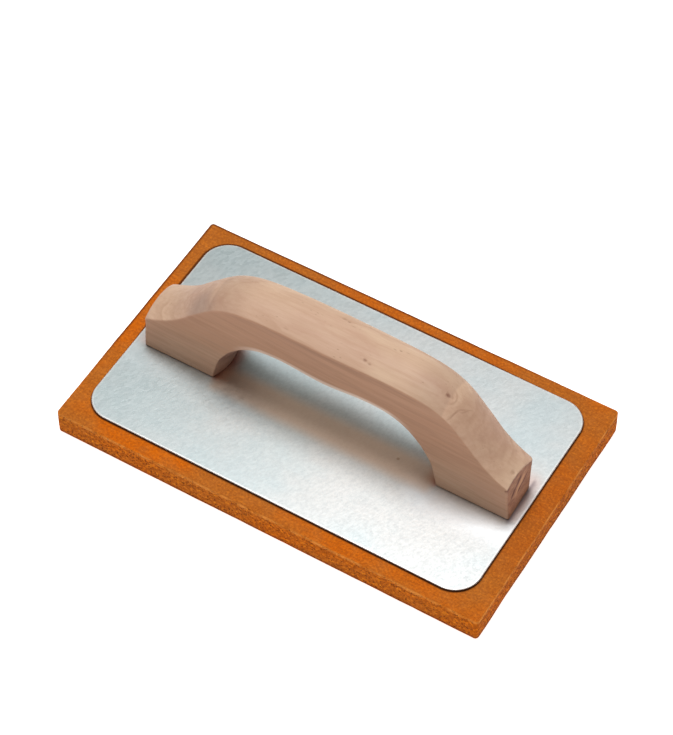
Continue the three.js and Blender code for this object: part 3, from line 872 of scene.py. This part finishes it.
    # painted shade: the hollow of the arch is darkened toward the feet
    under = g.math("MULTIPLY", g.ramp(nz, -0.45, 0.05, 1.0, 0.25), g.ramp(g.math("ABSOLUTE", x), 40, 58))
    under = g.math("MULTIPLY", under, g.math("SUBTRACT", 1.0, g.ramp(g.math("ABSOLUTE", x), 64.8, 66.5)))
    under = g.math("MULTIPLY", under, g.math("SUBTRACT", 1.0, flank))
    base = g.mix(g.math("MULTIPLY", under, 0.86), base, srgb(112, 74, 64))
    rough = g.math("ADD", g.ramp(fibre, 0.3, 0.7, 0.52, 0.64), g.math("MULTIPLY", end, 0.12))
    height = g.math("ADD", g.math("MULTIPLY", fibre, 0.5), g.math("MULTIPLY", fine, 0.35))
    height = g.math("SUBTRACT", height, g.math("MULTIPLY", fleck, 0.5))
    height = g.math("SUBTRACT", height, g.math("MULTIPLY", late, 0.15))
    normal = g.bump(height, 0.00014, 0.7)
    return g.finish(base, rough, normal, **{"Specular IOR Level": 0.36})


KNOT = (64.6, -5.2, 78.4)
HAIR_LINES = [((68.2, -12.8, 0), (73.9, -3.4, 0), 0.60), ((68.0, -14.2, 0), (71.2, -8.4, 0), 0.45), ((71.6, -8.0, 0), (76.4, -1.6, 0), 0.42)]


def rubber_material():
    g = Graph("sponge_rubber")
    side = g.attribute("side")
    pore = g.attribute("pore")
    x, y, z = g.split(g.mm)
    skin = g.math("SUBTRACT", 1.0, side, clamp=True)
    drift = g.noise(g.scaled(1 / 52, 1 / 40, 1 / 20), detail=2.0, rough=0.5)
    drift2 = g.noise(g.scaled(1 / 9, 1 / 9, 1 / 5, (4, 4, 4)), detail=3.0, rough=0.6)
    blot = g.noise(g.scaled(0.55, 0.55, 0.62, (2, 8, 5)), detail=3.0, rough=0.62)
    grit = g.noise(g.scaled(1.4, 1.4, 1.4), detail=3.0, rough=0.7)
    cells = g.voronoi(g.scaled(0.72, 0.72, 0.86))
    cells2 = g.voronoi(g.scaled(1.7, 1.7, 1.7, (3, 3, 3)))
    c1 = g.ramp(cells.outputs["Distance"], 0.14, 0.46, 1.0, 0.0)
    r1, _, _ = g.split(cells.outputs["Color"])
    c1 = g.math("MULTIPLY", c1, g.math("GREATER_THAN", r1, 0.50))
    c2 = g.ramp(cells2.outputs["Distance"], 0.10, 0.40, 1.0, 0.0)
    r2, _, _ = g.split(cells2.outputs["Color"])
    c2 = g.math("MULTIPLY", c2, g.math("GREATER_THAN", r2, 0.60))
    cell = g.math("MAXIMUM", c1, g.math("MULTIPLY", c2, 0.7))
    base = g.mix(g.ramp(drift, 0.40, 0.62), srgb(*RUBBER_DULL), srgb(*RUBBER_HOT))
    base = g.mix(g.ramp(drift2, 0.40, 0.70, 0.0, 0.40), base, srgb(*RUBBER_DUST))
    base = g.mix(g.ramp(grit, 0.45, 0.75, 0.0, 0.22), base, srgb(164, 80, 14))
    # painted shade: the far border is made duller, standing in for the light falling off toward it
    base = g.mix(g.math("MULTIPLY", g.ramp(y, 30, 68), g.math("MULTIPLY", skin, 0.40)), base, srgb(*RUBBER_FAR_SHADE))
    # the middle of the right border is made duller too
    pale = g.math("MULTIPLY", g.ramp(x, 100, 112), g.ramp(g.math("ABSOLUTE", y), 56, 26))
    base = g.mix(g.math("MULTIPLY", pale, 0.55), base, srgb(176, 100, 40))
    # long marks left on the skin by the mould
    streak = g.noise(g.scaled(1 / 7, 0.80, 1.1, (9, 2, 2)), detail=4.0, rough=0.62)
    weave = g.noise(g.scaled(0.80, 0.80, 0.80, (3, 7, 2)), detail=2.0, rough=0.7)
    rib = g.math("SINE", g.math("MULTIPLY", g.math("ADD", y, g.math("MULTIPLY", grit, 0.35)), 6.0))
    base = g.mix(g.math("MULTIPLY", skin, g.ramp(streak, 0.44, 0.70, 0.0, 0.30)), base, srgb(164, 84, 26))
    base = g.mix(g.math("MULTIPLY", skin, g.ramp(weave, 0.44, 0.64, 0.0, 0.42)), base, srgb(158, 82, 26))
    base = g.mix(g.math("MULTIPLY", skin, g.ramp(streak, 0.28, 0.46, 0.26, 0.0)), base, srgb(244, 140, 40))
    base = g.mix(g.math("MULTIPLY", skin, g.ramp(weave, 0.30, 0.48, 0.36, 0.0)), base, srgb(250, 144, 36))
    # cut cells: darker mouths on the sides, a few on the skin
    base = g.mix(g.math("MULTIPLY", side, 0.62), base, srgb(186, 98, 12))
    base = g.mix(g.math("MULTIPLY", side, g.ramp(blot, 0.40, 0.60, 0.0, 0.60)), base, srgb(140, 66, 6))
    base = g.mix(g.math("MULTIPLY", side, g.ramp(blot, 0.26, 0.44, 0.60, 0.0)), base, srgb(244, 148, 24))
    dark = g.math("MULTIPLY", cell, g.ramp(side, 0.0, 1.0, 0.12, 0.90))
    dark = g.math("MAXIMUM", dark, g.math("MULTIPLY", g.ramp(pore, 0.12, 0.8), 0.80))
    base = g.mix(dark, base, srgb(84, 34, 4))
    # the arris is rubbed pale
    worn = g.math("MULTIPLY", g.ramp(z, 12.2, 14.4), g.ramp(side, 0.10, 0.4))
    base = g.mix(g.math("MULTIPLY", worn, g.ramp(drift2, 0.34, 0.62, 0.04, 0.50)), base, srgb(250, 166, 80))
    # painted shade: the sides are darkened toward the bottom, standing in for the shade near the floor
    low = g.math("MULTIPLY", g.ramp(z, 0.2, 3.8, 0.78, 0.0), g.ramp(drift2, 0.3, 0.6, 0.6, 1.0))
    base = g.mix(g.math("MULTIPLY", low, side), base, srgb(100, 42, 8))
    # a dark line on the rubber round the plate's edge, wider toward the far side, and a darker band on the far and
    # left arris
    edge = g.from_outline(PLATE_X, PLATE_Y, PLATE_L / 2, PLATE_W / 2, PLATE_R, PLATE_TURN)
    plate_border_dark = g.math("SUBTRACT", edge, g.ramp(g.math("SUBTRACT", y, g.math("MULTIPLY", x, 0.4)), 20, 60, 0.0, 1.25))
    plate_border_dark = g.math("MULTIPLY", g.ramp(plate_border_dark, 0.15, 1.0, 0.90, 0.0), skin)
    base = g.mix(plate_border_dark, base, srgb(84, 42, 16))
    lip = g.from_outline(0.0, 0.0, PAD_L / 2, PAD_W / 2, PAD_R)
    far_arris_dark = g.math("MULTIPLY", g.ramp(lip, -1.5, -0.2, 0.0, 0.80), g.ramp(g.math("SUBTRACT", y, g.math("MULTIPLY", x, 0.55)), 10, 60))
    base = g.mix(far_arris_dark, base, srgb(104, 50, 18))
    height = g.math("MULTIPLY", g.math("SUBTRACT", 1.0, cell), g.ramp(side, 0.0, 1.0, 0.25, 1.0))
    height = g.math("ADD", height, g.math("MULTIPLY", grit, 0.55))
    height = g.math("ADD", height, g.math("MULTIPLY", g.math("MULTIPLY", weave, skin), 0.8))
    height = g.math("ADD", height, g.math("MULTIPLY", g.math("MULTIPLY", rib, skin), 0.06))
    normal = g.bump(height, 0.00024, 0.9)
    rough = g.math("ADD", g.ramp(grit, 0.3, 0.7, 0.54, 0.66), g.math("MULTIPLY", side, 0.22))
    return g.finish(base, rough, normal, **{"Specular IOR Level": 0.045})


def plate_material():
    g = Graph("plate_metal")
    x, y, z = g.split(g.mm)
    broad = g.noise(g.scaled(1 / 60, 1 / 40, 1 / 40), detail=3.0, rough=0.55)
    # the sheet was rolled at an angle to its sides, which shows as a faint slanting weave
    roll = g.join(g.math("ADD", g.math("MULTIPLY", x, 0.43), g.math("MULTIPLY", y, 0.90)),
                  g.math("SUBTRACT", g.math("MULTIPLY", y, 0.43), g.math("MULTIPLY", x, 0.90)), z)
    mottle = g.noise(g.vmath("MULTIPLY", roll, (1 / 1.7, 1 / 1.15, 1.0)), detail=4.0, rough=0.70)
    spangle = g.voronoi(g.vmath("MULTIPLY", roll, (1 / 2.2, 1 / 1.4, 1.0)))
    sr, _, _ = g.split(spangle.outputs["Color"])
    streak = g.noise(g.vmath("MULTIPLY", roll, (1 / 9, 0.9, 1.0)), detail=4.0, rough=0.7)
    base = g.mix(g.ramp(broad, 0.35, 0.65), srgb(*METAL_COOL), srgb(*METAL_WARM))
    # painted shade: toward the left end the metal is darker and bluer, standing in for the light's reflection fading
    # there
    base = g.mix(g.ramp(x, -120, 60, 0.5, 0.0), base, srgb(172, 190, 192))
    base = g.mix(g.ramp(mottle, 0.36, 0.66, 0.0, 0.26), base, srgb(160, 168, 172))
    base = g.mix(g.math("MULTIPLY", sr, 0.14), base, srgb(226, 230, 231))
    base = g.mix(g.ramp(streak, 0.50, 0.74, 0.0, 0.16), base, srgb(226, 229, 229))
    # one speck of dirt
    d = g.vmath("DISTANCE", g.mm, (40.8, -10.3, 16.5))
    speck = g.ramp(d, 0.40, 1.10, 0.80, 0.0)
    base = g.mix(speck, base, srgb(72, 60, 46))
    # painted reflection: the metal round the feet is tinted brown, standing in for the wood's colour reflected into
    # the shade there
    for cx, half_l, front_light_share in ((-84.9, 20.6, 0.10), (84.6, 19.6, 0.46)):
        feet = g.from_outline(cx, HANDLE_Y, half_l, HANDLE_W / 2 + 0.3, 1.0)
        # painted light: in front of them the metal is lightened, thinning the shade and dark reflection of the handle
        # there
        front_light = g.math("MULTIPLY", g.ramp(feet, 0.5, 4.5), g.ramp(feet, 9.0, 22.0, 1.0, 0.0))
        front_light = g.math("MULTIPLY", front_light, g.ramp(y, -14.0, -18.0))
        base = g.mix(g.math("MULTIPLY", front_light, front_light_share), base, srgb(244, 250, 255))
        # painted reflection: a warm brown tint round each foot, strongest from the near face back
        wood_reflection_tint = g.math("MULTIPLY", g.ramp(feet, 0.0, 9.0, 0.40, 0.0), g.ramp(y, -17.5, -11.5, 0.12, 1.0))
        base = g.mix(wood_reflection_tint, base, srgb(204, 150, 130))
        # painted shade and reflection: inside the arch beside each foot the metal is tinted red-brown, standing in
        # for the wood's colour in the shadow there
        inside = g.math("MULTIPLY", g.ramp(feet, 0.0, 11.0, 0.90, 0.0), g.ramp(g.math("ABSOLUTE", x), 65.5, 63.5))
        inside = g.math("MULTIPLY", inside, g.math("MULTIPLY", g.ramp(y, -18.0, -12.0), g.ramp(y, -2.0, 10.0, 1.0, 0.35)))
        base = g.mix(inside, base, srgb(180, 104, 80))
    # painted reflection: more faintly, a warm tint in the shadow band below the near side of the grip
    between = g.math("MULTIPLY", g.ramp(g.math("ABSOLUTE", g.math("ADD", y, 12.5)), 4, 12, 0.58, 0.0), g.ramp(g.math("ABSOLUTE", x), 66, 60))
    base = g.mix(between, base, srgb(236, 206, 178))
    # painted shadow: a purple-grey contact shadow along the right end's foot
    end_contact_shadow = g.math("MULTIPLY", g.ramp(feet, 0.0, 3.6, 0.62, 0.0), g.ramp(x, 103.5, 105.0))
    base = g.mix(end_contact_shadow, base, srgb(104, 92, 104))
    # the sheared sides are dull, with painted shade making them dark; the arris above them and a band just inside it
    # get a painted highlight
    nx, ny, nz = g.split(g.normal())
    sheared = g.ramp(nz, 0.20, 0.45, 1.0, 0.0)
    bevel_highlight = g.math("MULTIPLY", g.ramp(nz, 0.40, 0.62), g.ramp(nz, 0.965, 0.998, 1.0, 0.0))
    base = g.mix(g.math("MULTIPLY", sheared, g.ramp(mottle, 0.35, 0.65, 0.88, 0.98)), base, srgb(52, 36, 28))
    edge = g.from_outline(PLATE_X, PLATE_Y, PLATE_L / 2, PLATE_W / 2, PLATE_R, PLATE_TURN)
    base = g.mix(g.math("MULTIPLY", g.ramp(edge, -1.3, -0.3, 0.0, 0.55), g.math("SUBTRACT", 1.0, sheared)), base, srgb(246, 244, 242))
    base = g.mix(g.math("MULTIPLY", bevel_highlight, 0.85), base, srgb(246, 247, 248))
    rough = g.math("ADD", g.ramp(mottle, 0.3, 0.7, 0.44, 0.51), g.math("MULTIPLY", g.math("SUBTRACT", sr, 0.5), 0.06))
    rough = g.math("ADD", rough, g.math("MULTIPLY", speck, 0.4))
    metallic = g.math("SUBTRACT", 1.0, g.math("MULTIPLY", speck, 0.9))
    metallic = g.math("SUBTRACT", metallic, g.math("MULTIPLY", sheared, 0.7), clamp=True)
    height = g.math("ADD", g.math("MULTIPLY", mottle, 0.7), g.math("MULTIPLY", sr, 0.2))
    height = g.math("ADD", height, g.math("MULTIPLY", streak, 0.15))
    height = g.math("ADD", height, g.math("MULTIPLY", broad, 2.0))
    normal = g.bump(height, 0.00006, 0.6)
    return g.finish(base, rough, normal, metallic)


def film_material():
    g = Graph("adhesive")
    n = g.noise(g.scaled(1 / 3, 1 / 3, 1 / 3), detail=4.0, rough=0.6)
    base = g.mix(g.ramp(n, 0.35, 0.7), srgb(26, 20, 17), srgb(58, 42, 30))
    normal = g.bump(n, 0.0002, 0.6)
    return g.finish(base, g.ramp(n, 0.3, 0.7, 0.5, 0.8), normal)


def screw_material():
    g = Graph("screw_steel")
    n = g.noise(g.scaled(1.5, 1.5, 1 / 4), detail=4.0, rough=0.6)
    s = g.noise(g.scaled(5.0, 5.0, 0.8, (1, 1, 1)), detail=2.0)
    base = g.mix(g.ramp(n, 0.35, 0.7), srgb(176, 178, 172), srgb(206, 200, 178))
    base = g.mix(g.ramp(s, 0.5, 0.8, 0.0, 0.3), base, srgb(120, 118, 110))
    normal = g.bump(s, 0.00005, 0.5)
    return g.finish(base, g.ramp(n, 0.3, 0.7, 0.24, 0.38), normal, 1.0)


def floor_material():
    g = Graph("floor")
    n = g.noise(g.scaled(1 / 60, 1 / 60, 1 / 60), detail=2.0)
    base = g.mix(n, (0.93, 0.93, 0.93), (0.95, 0.95, 0.95))
    g.finish(base, 0.9)
    g.bsdf.inputs["Emission Color"].default_value = (1, 1, 1, 1)
    g.bsdf.inputs["Emission Strength"].default_value = FLOOR_GLOW
    return g.mat


WOOD_PALE, WOOD_PINK, WOOD_LATE = (222, 190, 162), (213, 177, 152), (184, 141, 114)
WOOD_FLANK_SHADE, WOOD_CROSS = (177, 131, 103), (160, 119, 97)
RUBBER_DULL, RUBBER_HOT, RUBBER_DUST, RUBBER_FAR_SHADE = (198, 114, 40), (228, 112, 8), (206, 126, 56), (184, 104, 40)
METAL_COOL, METAL_WARM = (200, 212, 215), (212, 215, 215)
FLOOR_GLOW = 0.85

# ------------------------------------------------------------------ build
wood, rubber, metal = wood_material(), rubber_material(), plate_material()

handle = make_handle()
cut(handle, [turned(f"bore_{i}", bore_profile(Z_TOP - 0.6), x, HANDLE_Y) for i, x in enumerate(SCREW_X)])
handle.data.materials.clear()
handle.data.materials.append(wood)
pad = make_pad()
pad.data.materials.append(rubber)
plate = make_plate()
cut(plate, [turned(f"hole_{i}", bore_profile(Z_PLATE - 0.6), x, HANDLE_Y) for i, x in enumerate(SCREW_X)])
plate.data.materials.clear()
plate.data.materials.append(metal)


def keep_edges_crisp(ob, angle):
    """Smooth faces, with every edge sharper than the angle left as an edge."""
    me = ob.data
    me.polygons.foreach_set("use_smooth", [True] * len(me.polygons))
    me.set_sharp_from_angle(angle=math.radians(angle))


keep_edges_crisp(handle, 50)
keep_edges_crisp(plate, 40)
keep_edges_crisp(pad, 75)

for ob, node, name in ((handle, "wood_handle", "beech"), (pad, "sponge_rubber_pad", "sponge_rubber"), (plate, "backing_plate", "plate_metal")):
    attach(ob, "root")
    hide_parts(node)

film, steel = film_material(), screw_material()
for name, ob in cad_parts.items():
    material = steel if name.startswith("screw") else film if name == "adhesive_film" else None
    if material is not None:
        for s in ob.material_slots:
            s.link = "OBJECT"
            s.material = material

# ------------------------------------------------------------------ stage
floor = new_object("floor", [[-4000, -4000, 0], [4000, -4000, 0], [4000, 4000, 0], [-4000, 4000, 0]], [[0, 1, 2, 3]], smooth=False)
floor.location.z = -0.0002
floor.data.materials.append(floor_material())


def soft_light(name, place, aim, size, radiance, color=(1, 1, 1)):
    data = bpy.data.lights.new(name, "AREA")
    data.shape = "RECTANGLE"
    data.size, data.size_y = size
    data.energy = radiance * math.pi * size[0] * size[1]
    data.color = color
    ob = bpy.data.objects.new(name, data)
    ob.location = place
    ob.rotation_euler = (Vector(aim) - Vector(place)).to_track_quat("-Z", "Y").to_euler()
    bpy.context.scene.collection.objects.link(ob)
    return ob


soft_light("overhead", (-0.10, 0.125, 1.20), (0, 0, 0), (0.46, 0.44), 13.9)

world = bpy.data.worlds.new("world")
bpy.context.scene.world = world
world.use_nodes = True
bg = world.node_tree.nodes["Background"]
bg.inputs["Color"].default_value = (1.0, 0.955, 0.90, 1)
bg.inputs["Strength"].default_value = 0.33

view = bpy.context.scene.view_settings
view.view_transform = "Standard"
view.look = "None"
view.exposure = 0.0
view.gamma = 1.0
